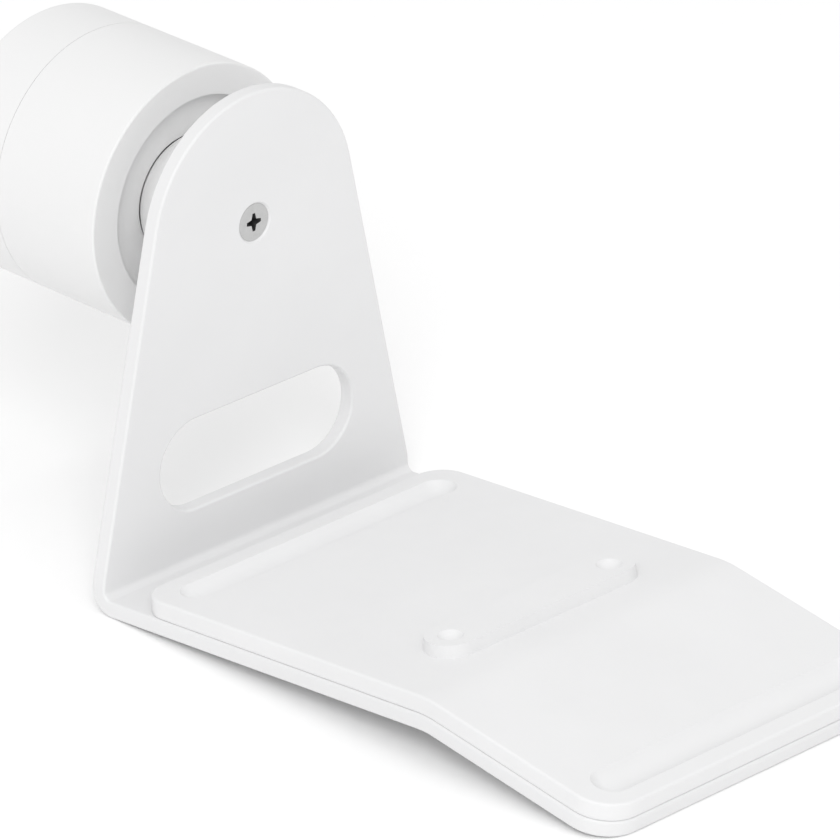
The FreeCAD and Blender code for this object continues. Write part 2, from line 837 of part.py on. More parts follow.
def pair_button():
    """Push button in the drum's side, with a collar behind the wall and a short stem."""
    inward = Vector(1, 0, 0)
    collar = button_travel - bore
    stem_end = plunger_tip - button_travel - button_play

    def stretch(radius, start, end):
        at = Vector(start, rim_y - button_at, screw_height)
        return Part.makeCylinder(radius, end - start, at, inward)

    outer = button_sink - drum_radius
    cap = softened(stretch(button_radius, outer, collar + button_flange_depth / 2), button_round,
                   lambda edge: edge.BoundBox.XMax < outer + 0.01)
    flange_part = stretch(button_flange, collar, collar + button_flange_depth)
    return joined([cap, flange_part, stretch(button_stem, collar, stem_end)])


def antenna():
    strip = tube(bore - antenna_inner, bore - antenna_outer, antenna_from, antenna_to)
    wedge = face_of([Vector(0, 0, 0)] + [Vector(x, 0, z) for x, z in around(2 * bore, antenna_angles)])
    sector = wedge.extrude(Vector(0, -drum_length, 0))
    sector.translate(Vector(0, rim_y, screw_height))
    return strip.common(sector)


def speaker():
    end = speaker_at + speaker_length
    case = block(-speaker_x, speaker_x, speaker_bottom, speaker_top, speaker_at, end)
    mouth_x = speaker_x - speaker_rim
    mouth = block(-mouth_x, mouth_x, speaker_bottom - 1, speaker_bottom + speaker_mouth,
                  speaker_at + speaker_rim, end - speaker_rim)
    return case.cut(mouth)


def speaker_gasket():
    end = speaker_at + speaker_length
    slab = block(-speaker_x, speaker_x, -bore, speaker_bottom, speaker_at, end)
    slab = slab.common(rod(bore - thread_gap, floor_back, board_at))
    mouth_x = speaker_x - speaker_rim
    return slab.cut(block(-mouth_x, mouth_x, -bore - 1, speaker_bottom + 1,
                          speaker_at + speaker_rim, end - speaker_rim))


# ---------------------------------------------------------------- sensor, optics and lamps
def standoffs(start, end):
    thread = small_screw + thread_gap
    return group([tube(thread, standoff_radius, start, end, x, z) for x, z in stack_places])


def sensor_board_piece():
    pcb = rod(sensor_board_radius, sensor_back, sensor_front)
    for x, z in stack_places:
        pcb = pcb.cut(rod(small_screw + shank_ease, sensor_back - 1, sensor_front + 1, x, z))
    return pcb


def image_sensor():
    return block(*sensor_spot, sensor_front, sensor_front + sensor_height)


def lens_holder():
    track_at = sensor_front + shutter_room
    body = block(-holder_x, holder_x, -holder_z, holder_z, sensor_front, holder_front)
    hollow = block(-sensor_room, sensor_room, -shutter_height, shutter_height,
                   sensor_front - 1, track_at + 0.01)
    track_x = shutter_half + shutter_shift + shutter_gap
    track_z = shutter_height + shutter_gap
    track = block(-track_x, track_x, -track_z, track_z, track_at, track_at + shutter_track)
    return body.cut(hollow).cut(track).cut(rod(barrel_radius + lens_gap, track_at, holder_front + 1))


def shutter_coil():
    coil_z = screw_height + holder_z + coil_frame / 2
    at = Vector(-coil_length / 2, rim_y - sensor_front - coil_lift, coil_z)
    winding = Part.makeCylinder(coil_radius, coil_length, at, Vector(1, 0, 0))
    top = holder_z + coil_frame
    base = block(-coil_frame, coil_frame, holder_z, top, sensor_front, sensor_front + coil_base)
    cheeks = [block(x, x + coil_cheek, holder_z, top, sensor_front, sensor_front + coil_frame_height)
              for x in (-coil_frame, coil_frame - coil_cheek)]
    return joined([winding, base] + cheeks)


def shutter_windows(radius):
    end = shutter_at + shutter_plate
    return [rod(radius, shutter_at, end, shutter_shift + side * shutter_shift) for side in (-1, 1)]


def filter_frame():
    slab = block(shutter_shift - shutter_half, shutter_shift + shutter_half,
                 -shutter_height, shutter_height, shutter_at, shutter_at + shutter_plate)
    return slab.cut(group(shutter_windows(shutter_glass)))


def lens_barrel():
    front = barrel_back + barrel_length
    head_at = front - barrel_head_length
    body = rod(barrel_radius, barrel_back, head_at + 1).fuse(rod(barrel_head, head_at, front))
    body = body.cut(rod(barrel_bore, barrel_back - 1, front + 1))
    body = body.cut(rod(rear_lens_radius + lens_gap, barrel_back - 1, barrel_back + rear_lens_depth))
    return body.cut(rod(front_lens_radius + lens_gap, front_lens_at, front + 1))


def front_lens():
    crown = front_lens_at + front_lens_bulge
    centre = Vector(0, rim_y - crown + front_lens_curve, screw_height)
    return rod(front_lens_radius, front_lens_at, crown + 1).common(Part.makeSphere(front_lens_curve, centre))


def rear_lens():
    return rod(rear_lens_radius, barrel_back + rear_lens_back, barrel_back + rear_lens_depth)


def light_baffle():
    return tube(baffle_inner, baffle_outer, holder_front, window_back - front_clear)


def led_board_piece():
    pcb = tube(led_board_bore, led_board_radius, led_back, led_front)
    for x, z in stack_places:
        pcb = pcb.cut(rod(small_screw + shank_ease, led_back - 1, led_front + 1, x, z))
    return pcb


def led_ribbon():
    return block(-ribbon_half, ribbon_half, ribbon_z, ribbon_z + ribbon_thickness, sensor_front, led_back)


def ir_leds():
    lamps = []
    lens_at = led_front + led_base
    for angle in led_angles:
        x, z = around(stack_ring, (angle,))[0]
        centre = Vector(x, rim_y - lens_at, screw_height + z)
        lens = Part.makeSphere(led_dome, centre).common(rod(led_dome, lens_at, lens_at + 2 * led_dome, x, z))
        lamps.append(lamp_part(angle, led_side / 2, led_base).fuse(lens))
    return group(lamps)


def lamp_part(angle, half, height):
    """Square package at one place round the lamp board."""
    x, z = around(stack_ring, (angle,))[0]
    return block(x - half, x + half, z - half, z + half, led_front, led_front + height)


def status_led():
    x, z = around(stack_ring, (status_angle,))[0]
    guide = rod(status_guide, led_front + status_height, window_back - front_clear, x, z)
    return lamp_part(status_angle, 1, status_height).fuse(guide)


def stack_screws():
    return group([small_screw_at(x, z, led_front, stack_shank) for x, z in stack_places])


# ---------------------------------------------------------------- assembly
nodes = {
    "bracket": bracket(),
    "grip_pad": grip_pad(),
    "pad_adhesive": pad_adhesive(),
    "dome_mount": dome_mount(),
    "dome_screw": dome_screw(),
    "dome_dowels": group(dowels(dowel_radius)),
    "glide_disc": glide_disc_piece(),
    "ball_seat": ball_seat(),
    "ring_magnet": ring_magnet(),
    "magnet_pot": magnet_pot(),
    "pot_retainer": pot_retainer(),
    "retainer_screws": retainer_screws(),
    "rear_housing": rear_housing(),
    "front_shell": front_shell(),
    "case_seal": case_seal(),
    "case_screws": case_screws(),
    "front_window": front_window(),
    "window_gasket": window_gasket(),
    "main_board": main_board(),
    "board_screws": board_screws(),
    "processor": processor(),
    "thermal_pad": thermal_pad(),
    "heat_sink": heat_sink(),
    "memory_chip": memory_chip(),
    "wifi_module": wifi_module(),
    "capacitors": capacitors(),
    "board_header": board_header(),
    "usb_socket": usb_socket(),
    "button_switch": button_switch(),
    "pair_button": pair_button(),
    "antenna": antenna(),
    "speaker": speaker(),
    "speaker_gasket": speaker_gasket(),
    "lower_standoffs": standoffs(board_front, sensor_back),
    "sensor_board": sensor_board_piece(),
    "image_sensor": image_sensor(),
    "lens_holder": lens_holder(),
    "shutter_coil": shutter_coil(),
    "filter_frame": filter_frame(),
    "ir_cut_glass": shutter_windows(shutter_glass)[0],
    "clear_glass": shutter_windows(shutter_glass)[1],
    "lens_barrel": lens_barrel(),
    "front_lens": front_lens(),
    "rear_lens": rear_lens(),
    "light_baffle": light_baffle(),
    "upper_standoffs": standoffs(sensor_front, led_back),
    "led_board": led_board_piece(),
    "led_ribbon": led_ribbon(),
    "ir_leds": ir_leds(),
    "light_sensor": lamp_part(light_sensor_angle, 1.2, 0.9),
    "microphone": lamp_part(microphone_angle, 1.5, 1.0),
    "status_led": status_led(),
    "stack_screws": stack_screws(),
}

# The origin lies on the resting plane, midway between the drum's front and the toe.
toe_y = max(nodes["bracket"].BoundBox.YMax, nodes["grip_pad"].BoundBox.YMax)
middle_y = (toe_y + rim_y - drum_length) / 2

os.makedirs("parts", exist_ok=True)
for name, shape in nodes.items():
    shape.translate(Vector(0, -middle_y, 0))
    shape.exportStep(f"parts/{name}.step")
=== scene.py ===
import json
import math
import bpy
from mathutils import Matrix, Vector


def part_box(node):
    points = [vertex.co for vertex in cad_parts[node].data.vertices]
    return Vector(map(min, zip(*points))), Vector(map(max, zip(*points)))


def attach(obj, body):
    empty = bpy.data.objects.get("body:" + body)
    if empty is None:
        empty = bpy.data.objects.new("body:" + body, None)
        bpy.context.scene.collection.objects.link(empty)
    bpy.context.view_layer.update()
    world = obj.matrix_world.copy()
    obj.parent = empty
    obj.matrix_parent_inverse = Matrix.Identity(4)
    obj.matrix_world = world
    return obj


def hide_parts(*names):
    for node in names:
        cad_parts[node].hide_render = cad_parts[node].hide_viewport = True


bl_info = {
    "name": "Baby monitor camera on a bent bracket",
    "version": (1, 0, 0),
    "blender": (4, 5, 0),
    "location": "3D View > Sidebar > Monitor Camera",
    "description": "Finishes and fine pieces for a drum-shaped baby monitor camera and its studio stage",
    "category": "Object",
}

import bmesh
import bpy
from bpy.props import FloatProperty, FloatVectorProperty, IntProperty, PointerProperty
from mathutils import Matrix, Vector

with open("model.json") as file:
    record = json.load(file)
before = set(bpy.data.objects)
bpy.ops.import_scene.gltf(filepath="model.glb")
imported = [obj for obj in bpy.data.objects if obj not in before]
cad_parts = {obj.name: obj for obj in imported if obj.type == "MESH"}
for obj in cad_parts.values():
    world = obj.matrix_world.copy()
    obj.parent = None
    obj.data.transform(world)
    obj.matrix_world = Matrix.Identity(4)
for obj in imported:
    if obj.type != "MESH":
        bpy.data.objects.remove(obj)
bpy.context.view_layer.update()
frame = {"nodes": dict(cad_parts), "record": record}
NODES = frame["nodes"]
BODY_OF = {node: body for body, nodes in frame["record"]["behaviour"]["bodies"].items() for node in nodes}
MILLIMETRE = 0.001
SOFT_ZONE_EDGE = 0.05 * MILLIMETRE      # half the width of the blur between two zones of the window
WELD_REACH = 0.0001 * MILLIMETRE        # points nearer than this are one point
FLOOR_DROP = 0.02 * MILLIMETRE          # floor below the feet, so that the two never share a plane
CREASE_ANGLE = math.radians(32.0)       # edges sharper than this stay crisp
SENSOR_WIDTH = 36.0                     # millimetres across the camera's sensor

# Each soft light: name, azimuth and elevation in degrees, diameter in metres, setting of its power
SOFT_LIGHTS = (
    ("key_softbox", 135.0, 40.0, 1.0, "key_power"),
    ("top_softbox", 135.0, 85.0, 1.6, "top_power"),
    ("side_softbox", 112.0, 32.0, 1.0, "side_power"),
)


# ---------------------------------------------------------------- settings
def colour_setting(name, description, default):
    return FloatVectorProperty(name=name, description=description, default=default,
                               subtype="COLOR", size=3, min=0.0, max=1.0)


def length_setting(name, description, default):
    return FloatProperty(name=name, description=description, default=default, unit="LENGTH",
                         subtype="DISTANCE", min=0.0, precision=5)


class MonitorFinishSettings(bpy.types.PropertyGroup):
    """Colours and grain of the outer pieces."""

    powder_colour: colour_setting("Powder coat", "Colour of the bent steel bracket", (0.760, 0.760, 0.764))
    powder_grain: length_setting("Powder grain", "Width of one ripple in the powder coat", 0.00045)
    lacquer_colour: colour_setting("Lacquer", "Colour of the magnetic dome", (0.88, 0.88, 0.88))
    silicone_colour: colour_setting("Silicone", "Colour of the grip pad", (0.778, 0.778, 0.782))
    silicone_grain: length_setting("Silicone grain", "Width of one pit in the moulded silicone", 0.00025)
    shell_colour: colour_setting("Shell", "Colour of the moulded drum", (0.80, 0.80, 0.80))
    shell_grain: length_setting("Shell grain", "Width of one spark mark in the drum's mould", 0.00020)
    button_colour: colour_setting("Button", "Colour of the pairing button", (0.58, 0.59, 0.60))
    window_colour: colour_setting("Smoked tint", "Tint of the window over the lamps", (0.34, 0.31, 0.32))
    clear_colour: colour_setting("Clear tint", "Tint of the window over the lens", (0.93, 0.95, 0.96))
    mask_colour: colour_setting("Mask", "Black print behind the window", (0.012, 0.012, 0.013))
    lens_window: length_setting("Lens window", "Radius of the clear part over the lens", 0.0079)
    mask_ring: length_setting("Mask ring", "Width of the black ring round the lens", 0.0011)
    lamp_window: length_setting("Lamp window", "Outer radius of the smoked part over the lamps", 0.0178)


class MonitorScrewSettings(bpy.types.PropertyGroup):
    """Sizes of the countersunk screw that holds the dome."""

    steel_colour: colour_setting("Steel", "Colour of the plated screw", (0.56, 0.56, 0.558))
    head_radius: length_setting("Head radius", "Outer radius of the countersunk head", 0.0037)
    shank_radius: length_setting("Shank radius", "Radius of the threaded shank", 0.0020)
    head_rim: length_setting("Head rim", "Depth at which the head's straight rim ends", 0.00015)
    head_chamfer: length_setting("Head chamfer", "Width of the broken edge round the head", 0.00012)
    point_length: length_setting("Point length", "Length of the tapered point", 0.0004)
    recess_radius: length_setting("Recess radius", "Middle to the tip of a wing of the cross recess", 0.00185)
    recess_depth: length_setting("Recess depth", "Depth of the cross recess", 0.0017)
    wing_width: length_setting("Wing width", "Width of one wing of the cross recess at its mouth", 0.00085)
    # Painted shade: near-black colour laid into the screw's cross recess where its shadow falls
    recess_shade_colour: colour_setting("Recess shade", "Colour inside the cross recess", (0.035, 0.035, 0.036))
    segments: IntProperty(name="Segments", description="Faces round the head", default=96, min=24, max=256)


class MonitorStageSettings(bpy.types.PropertyGroup):
    """Floor, lights and the viewing angle."""

    azimuth: FloatProperty(name="Azimuth", description="Turn of the camera round the object",
                           default=math.radians(135.52), subtype="ANGLE")
    elevation: FloatProperty(name="Elevation", description="Height angle of the camera above the horizon",
                             default=math.radians(25.39), subtype="ANGLE")
    roll: FloatProperty(name="Roll", description="Turn of the camera about its own axis",
                        default=math.radians(-0.224), subtype="ANGLE")
    distance: length_setting("Distance", "Camera to the point that it looks at", 1.6464)
    aim: FloatVectorProperty(name="Aim", description="Point that the camera looks at",
                             default=(0.001836, 0.008130, 0.041995), size=3, subtype="XYZ", unit="LENGTH")
    lens: FloatProperty(name="Lens", description="Focal length of the camera", default=391.98,
                        min=10.0, max=1000.0, unit="CAMERA")
    floor_half: length_setting("Floor half width", "Middle of the floor to its edge", 9.0)
    floor_colour: colour_setting("Floor", "Colour of the pale floor", (0.985, 0.985, 0.985))
    world_strength: FloatProperty(name="Room light", description="Strength of the white surroundings",
                                  default=0.80, min=0.0, max=10.0)
    light_distance: length_setting("Light distance", "Aim point to each soft light", 2.2)
    key_power: FloatProperty(name="Key light", description="Power of the large soft light by the camera",
                             default=15.0, min=0.0, max=1000.0, unit="POWER")
    top_power: FloatProperty(name="Top light", description="Power of the overhead soft light",
                             default=4.0, min=0.0, max=1000.0, unit="POWER")
    side_power: FloatProperty(name="Side light", description="Power of the soft light on the drum's side",
                              default=1.5, min=0.0, max=1000.0, unit="POWER")


# ---------------------------------------------------------------- finishes
class Finish:
    """One procedural material: a shader with patterns laid out in the object's own metres."""

    def __init__(self, name, colour, roughness, metallic=0.0):
        self.material = bpy.data.materials.new(name)
        self.material.use_nodes = True
        self.tree = self.material.node_tree
        self.shader = self.tree.nodes["Principled BSDF"]
        self.place = self.tree.nodes.new("ShaderNodeTexCoord").outputs["Object"]
        self.set("Base Color", (*colour, 1.0))
        self.set("Roughness", roughness)
        self.set("Metallic", metallic)

    def set(self, socket, value):
        self.shader.inputs[socket].default_value = value

    def mapped(self, width, stretch=(1.0, 1.0, 1.0), centre=(0.0, 0.0, 0.0)):
        """Coordinates in which one unit is `width` metres, lengthened along each axis by `stretch`."""
        shift = self.tree.nodes.new("ShaderNodeVectorMath")
        shift.operation = "SUBTRACT"
        shift.inputs[1].default_value = centre
        self.tree.links.new(self.place, shift.inputs[0])
        scale = self.tree.nodes.new("ShaderNodeVectorMath")
        scale.operation = "MULTIPLY"
        scale.inputs[1].default_value = [1.0 / (width * share) for share in stretch]
        self.tree.links.new(shift.outputs[0], scale.inputs[0])
        return scale.outputs[0]

    def noise(self, width, stretch=(1.0, 1.0, 1.0), detail=3.0):
        node = self.tree.nodes.new("ShaderNodeTexNoise")
        node.inputs["Scale"].default_value = 1.0
        node.inputs["Detail"].default_value = detail
        node.inputs["Roughness"].default_value = 0.55
        self.tree.links.new(self.mapped(width, stretch), node.inputs["Vector"])
        return node.outputs["Fac"]

    def pits(self, width):
        """Rounded cells, as spark marks in a mould or beads on blasted metal leave."""
        node = self.tree.nodes.new("ShaderNodeTexVoronoi")
        node.feature = "SMOOTH_F1"
        node.inputs["Scale"].default_value = 1.0
        node.inputs["Smoothness"].default_value = 0.6
        self.tree.links.new(self.mapped(width), node.inputs["Vector"])
        return node.outputs["Distance"]

    def rings(self, width, centre):
        """Turning marks about the line along Y through `centre`."""
        node = self.tree.nodes.new("ShaderNodeTexWave")
        node.wave_type = "RINGS"
        node.rings_direction = "Y"
        node.inputs["Scale"].default_value = 1.0
        node.inputs["Distortion"].default_value = 0.6
        node.inputs["Detail"].default_value = 2.0
        self.tree.links.new(self.mapped(width, centre=centre), node.inputs["Vector"])
        return node.outputs["Fac"]

    def bands(self, width, axis, waver=0.0):
        node = self.tree.nodes.new("ShaderNodeTexWave")
        node.wave_type = "BANDS"
        node.bands_direction = axis
        node.inputs["Scale"].default_value = 1.0
        node.inputs["Distortion"].default_value = waver
        self.tree.links.new(self.mapped(width), node.inputs["Vector"])
        return node.outputs["Fac"]

    def from_axis(self, point):
        """Distance in metres from the line along Y through `point`."""
        flat = self.tree.nodes.new("ShaderNodeVectorMath")
        flat.operation = "MULTIPLY"
        flat.inputs[1].default_value = (1.0, 0.0, 1.0)
        self.tree.links.new(self.mapped(1.0, centre=point), flat.inputs[0])
        length = self.tree.nodes.new("ShaderNodeVectorMath")
        length.operation = "LENGTH"
        self.tree.links.new(flat.outputs[0], length.inputs[0])
        return length.outputs["Value"]

    def zone(self, reach, edge, inside, outside):
        """`inside` up to a radius and `outside` beyond it, each a colour or a pattern."""
        step = self.tree.nodes.new("ShaderNodeMapRange")
        step.inputs["From Min"].default_value = edge - SOFT_ZONE_EDGE
        step.inputs["From Max"].default_value = edge + SOFT_ZONE_EDGE
        self.tree.links.new(reach, step.inputs["Value"])
        mix = self.tree.nodes.new("ShaderNodeMix")
        mix.data_type = "RGBA"
        self.tree.links.new(step.outputs["Result"], mix.inputs["Factor"])
        for name, side in (("A", inside), ("B", outside)):
            if isinstance(side, bpy.types.NodeSocket):
                self.tree.links.new(side, mix.inputs[name])
            else:
                mix.inputs[name].default_value = (*side, 1.0)
        return mix.outputs["Result"]

    def between(self, factor, low, high, start=0.3, end=0.7):
        """Map a pattern from start..end to low..high, numbers or colours alike."""
        colours = isinstance(low, (tuple, list))
        node = self.tree.nodes.new("ShaderNodeMapRange")
        node.inputs["From Min"].default_value = start
        node.inputs["From Max"].default_value = end
        self.tree.links.new(factor, node.inputs["Value"])
        if not colours:
            node.inputs["To Min"].default_value = low
            node.inputs["To Max"].default_value = high
            return node.outputs["Result"]
        mix = self.tree.nodes.new("ShaderNodeMix")
        mix.data_type = "RGBA"
        mix.inputs["A"].default_value = (*low, 1.0)
        mix.inputs["B"].default_value = (*high, 1.0)
        self.tree.links.new(node.outputs["Result"], mix.inputs["Factor"])
        return mix.outputs["Result"]

    def drive(self, socket, output):
        self.tree.links.new(output, self.shader.inputs[socket])

    def relief(self, *layers):
        """Stack bump layers given as (pattern, height in metres)."""
        normal = None
        for pattern, height in layers:
            bump = self.tree.nodes.new("ShaderNodeBump")
            bump.inputs["Strength"].default_value = 1.0
            bump.inputs["Distance"].default_value = height
            self.tree.links.new(pattern, bump.inputs["Height"])
            if normal is not None:
                self.tree.links.new(normal, bump.inputs["Normal"])
            normal = bump.outputs["Normal"]
        self.drive("Normal", normal)


def scaled(colour, share):
    return tuple(min(1.0, part * share) for part in colour)


def mottled(finish, colour, width, spread):
    """Give the colour a slight, large drift so that it never reads as one flat tone."""
    drift = finish.noise(width)
    finish.drive("Base Color", finish.between(drift, scaled(colour, 1 - spread), scaled(colour, 1 + spread)))


def powder_coat(colour, grain):
    finish = Finish("powder_coat", colour, 0.46)
    mottled(finish, colour, 0.03, 0.012)
    ripple = finish.noise(grain, detail=2.0)
    swell = finish.noise(grain * 7, detail=1.0)
    finish.drive("Roughness", finish.between(finish.noise(0.006), 0.42, 0.52))
    finish.relief((ripple, 0.010 * MILLIMETRE), (swell, 0.012 * MILLIMETRE))
    finish.set("Coat Weight", 0.10)
    finish.set("Coat Roughness", 0.35)
    return finish.material


def dome_lacquer(colour):
    finish = Finish("dome_lacquer", colour, 0.32)
    mottled(finish, colour, 0.012, 0.010)
    finish.drive("Roughness", finish.between(finish.noise(0.003), 0.28, 0.38))
    finish.relief((finish.noise(0.0009, detail=2.0), 0.006 * MILLIMETRE))
    finish.set("Coat Weight", 0.35)
    finish.set("Coat Roughness", 0.18)
    return finish.material


def moulded_silicone(colour, grain):
    finish = Finish("moulded_silicone", colour, 0.55)
    mottled(finish, colour, 0.022, 0.012)
    finish.drive("Roughness", finish.between(finish.noise(0.004), 0.50, 0.62))
    finish.relief((finish.pits(grain), 0.006 * MILLIMETRE), (finish.noise(grain * 12), 0.014 * MILLIMETRE))
    finish.set("Sheen Weight", 0.05)
    finish.set("Sheen Roughness", 0.5)
    finish.set("Specular IOR Level", 0.40)
    return finish.material


def moulded_shell(colour, grain):
    finish = Finish("moulded_shell", colour, 0.48)
    mottled(finish, colour, 0.035, 0.010)
    finish.drive("Roughness", finish.between(finish.noise(0.005), 0.44, 0.54))
    finish.relief((finish.pits(grain), 0.006 * MILLIMETRE), (finish.noise(grain * 3), 0.005 * MILLIMETRE))
    return finish.material


def turned_acetal():
    """Natural acetal with fine turning marks about the drum's axis."""
    colour = (0.82, 0.80, 0.76)
    finish = Finish("turned_acetal", colour, 0.38)
    mottled(finish, colour, 0.004, 0.03)
    finish.relief((finish.rings(0.0006, drum_axis_point()), 0.004 * MILLIMETRE))
    finish.drive("Roughness", finish.between(finish.noise(0.0015), 0.32, 0.46))
    return finish.material


def plated_steel(name, colour, centre, width=0.00012):
    """Turned and zinc-plated steel with fine rings about one axis."""
    finish = Finish(name, colour, 0.34, 1.0)
    rings = finish.rings(width, centre)
    drift = finish.noise(0.0011)
    finish.drive("Base Color", finish.between(drift, scaled(colour, 0.96), scaled(colour, 1.03)))
    finish.drive("Roughness", finish.between(rings, 0.26, 0.42))
    finish.relief((rings, 0.0022 * MILLIMETRE), (finish.noise(0.0003), 0.0015 * MILLIMETRE))
    return finish.material


def recess_film(colour):
    """Painted shade: a near-black finish inside a screw's cross recess, standing in for the shadow there."""
    finish = Finish("recess_film", colour, 0.38)
    mottled(finish, colour, 0.0006, 0.3)
    finish.drive("Roughness", finish.between(finish.noise(0.0004), 0.30, 0.48))
    return finish.material


def nickel_plate():
    colour = (0.66, 0.64, 0.60)
    finish = Finish("nickel_plate", colour, 0.16, 1.0)
    finish.drive("Base Color", finish.between(finish.noise(0.002), scaled(colour, 0.9), scaled(colour, 1.1)))
    finish.drive("Roughness", finish.between(finish.noise(0.0007), 0.10, 0.24))
    return finish.material


def soft_black_rubber():
    colour = (0.022, 0.022, 0.023)
    finish = Finish("soft_black_rubber", colour, 0.72)
    mottled(finish, colour, 0.001, 0.25)
    finish.drive("Roughness", finish.between(finish.noise(0.0008), 0.62, 0.82))
    finish.relief((finish.pits(0.00012), 0.008 * MILLIMETRE))
    return finish.material


def smoked_window(look):
    """Polished acrylic in three zones: clear over the lens, smoked over the lamps, masked black
    round the edge and in a thin ring round the lens."""
    finish = Finish("smoked_window", look.window_colour, 0.05)
    reach = finish.from_axis(drum_axis_point())
    smoke = finish.between(finish.noise(0.02), scaled(look.window_colour, 0.9),
                           scaled(look.window_colour, 1.15))
    colour = finish.zone(reach, look.lens_window, look.clear_colour, look.mask_colour)
    colour = finish.zone(reach, look.lens_window + look.mask_ring, colour, smoke)
    colour = finish.zone(reach, look.lamp_window, colour, look.mask_colour)
    finish.drive("Base Color", colour)
    finish.drive("Roughness", finish.between(finish.noise(0.0045, detail=5.0), 0.02, 0.06))
    finish.set("Transmission Weight", 1.0)
    finish.set("IOR", 1.49)
    finish.set("Coat Weight", 0.6)
    finish.set("Coat Roughness", 0.03)
    return finish.material


def solder_mask():
    """Green board: copper tracks show as paler lines under the mask."""
    mask, track = (0.012, 0.085, 0.035), (0.035, 0.160, 0.060)
    finish = Finish("solder_mask", mask, 0.34)
    brick = finish.tree.nodes.new("ShaderNodeTexBrick")
    brick.inputs["Color1"].default_value = (0.0, 0.0, 0.0, 1.0)
    brick.inputs["Color2"].default_value = (0.25, 0.25, 0.25, 1.0)
    brick.inputs["Mortar"].default_value = (1.0, 1.0, 1.0, 1.0)
    brick.inputs["Scale"].default_value = 1.0
    brick.inputs["Mortar Size"].default_value = 0.06
    brick.inputs["Brick Width"].default_value = 1.7
    brick.inputs["Row Height"].default_value = 0.45
    brick.offset = 0.37
    turn = finish.tree.nodes.new("ShaderNodeMapping")
    turn.inputs["Rotation"].default_value = (math.radians(90), 0.0, 0.0)
    finish.tree.links.new(finish.mapped(0.0021), turn.inputs["Vector"])
    finish.tree.links.new(turn.outputs["Vector"], brick.inputs["Vector"])
    lines = brick.outputs["Color"]
    finish.drive("Base Color", finish.between(lines, mask, track, 0.0, 1.0))
    finish.relief((lines, 0.02 * MILLIMETRE), (finish.noise(0.0002), 0.004 * MILLIMETRE))
    finish.drive("Roughness", finish.between(finish.noise(0.003), 0.28, 0.42))
    finish.set("Coat Weight", 0.3)
    finish.set("Coat Roughness", 0.2)
    return finish.material


def moulded_epoxy():
    colour = (0.028, 0.028, 0.030)
    finish = Finish("moulded_epoxy", colour, 0.55)
    mottled(finish, colour, 0.0012, 0.18)
    finish.relief((finish.pits(0.00009), 0.006 * MILLIMETRE))
    finish.drive("Roughness", finish.between(finish.noise(0.0006), 0.46, 0.66))
    return finish.material


def thermal_gel():
    colour = (0.33, 0.35, 0.38)
    finish = Finish("thermal_gel", colour, 0.6)
    mottled(finish, colour, 0.0008, 0.12)
    finish.relief((finish.noise(0.0003), 0.02 * MILLIMETRE))
    return finish.material


def bead_blasted_aluminium():
    colour = (0.60, 0.61, 0.62)
    finish = Finish("bead_blasted_aluminium", colour, 0.42, 1.0)
    drift = finish.noise(0.0018)
    finish.drive("Base Color", finish.between(drift, scaled(colour, 0.92), scaled(colour, 1.08)))
    finish.relief((finish.pits(0.00010), 0.004 * MILLIMETRE))
    finish.drive("Roughness", finish.between(finish.noise(0.0007), 0.36, 0.50))
    return finish.material


def button_plastic(colour):
    finish = Finish("button_plastic", colour, 0.50)
    mottled(finish, colour, 0.003, 0.03)
    finish.relief((finish.pits(0.00014), 0.006 * MILLIMETRE))
    finish.drive("Roughness", finish.between(finish.noise(0.001), 0.44, 0.58))
    return finish.material


def copper_film():
    """Copper under amber film, with the lines of its conductors or turns."""
    colour = (0.58, 0.36, 0.13)
    finish = Finish("copper_film", colour, 0.34, 0.75)
    lines = finish.bands(0.0016, "X")
    finish.drive("Base Color", finish.between(lines, scaled(colour, 0.72), scaled(colour, 1.2)))
    finish.relief((lines, 0.02 * MILLIMETRE))
    finish.drive("Roughness", finish.between(finish.noise(0.0009), 0.28, 0.42))
    return finish.material


def turned_brass():
    colour = (0.66, 0.48, 0.20)
    finish = Finish("turned_brass", colour, 0.28, 1.0)
    drift = finish.noise(0.0009)
    finish.drive("Base Color", finish.between(drift, scaled(colour, 0.88), scaled(colour, 1.1)))
    finish.drive("Roughness", finish.between(finish.bands(0.0011, "Y", 0.4), 0.2, 0.36))
    return finish.material


def black_resin():
    colour = (0.020, 0.020, 0.021)
    finish = Finish("black_resin", colour, 0.46)
    mottled(finish, colour, 0.0015, 0.2)
    finish.relief((finish.noise(0.00022), 0.006 * MILLIMETRE))
    finish.drive("Roughness", finish.between(finish.noise(0.0008), 0.40, 0.56))
    return finish.material


def coated_glass(name, tint, bloom, transmission):
    """Polished glass whose thin coating drifts between two tints."""
    finish = Finish(name, tint, 0.03)
    finish.drive("Base Color", finish.between(finish.noise(0.006, detail=1.0), tint, bloom, 0.35, 0.65))
    finish.drive("Roughness", finish.between(finish.noise(0.0016, detail=4.0), 0.01, 0.05))
    finish.set("Transmission Weight", transmission)
    finish.set("IOR", 1.52)
    return finish.material


def sensor_cells():
    colour = (0.03, 0.05, 0.09)
    finish = Finish("sensor_cells", colour, 0.10)
    grid = finish.bands(0.0009, "X")
    finish.drive("Base Color", finish.between(grid, (0.02, 0.04, 0.08), (0.10, 0.05, 0.14), 0.0, 1.0))
    finish.drive("Roughness", finish.between(finish.noise(0.001), 0.06, 0.16))
    finish.set("Coat Weight", 1.0)
    finish.set("Coat Roughness", 0.02)
    return finish.material


def adhesive_sheet():
    colour = (0.50, 0.50, 0.47)
    finish = Finish("adhesive_sheet", colour, 0.7)
    fibres = finish.noise(0.0006, stretch=(4.0, 1.0, 1.0), detail=4.0)
    finish.drive("Base Color", finish.between(fibres, scaled(colour, 0.85), scaled(colour, 1.12)))
    finish.relief((fibres, 0.01 * MILLIMETRE))
    return finish.material


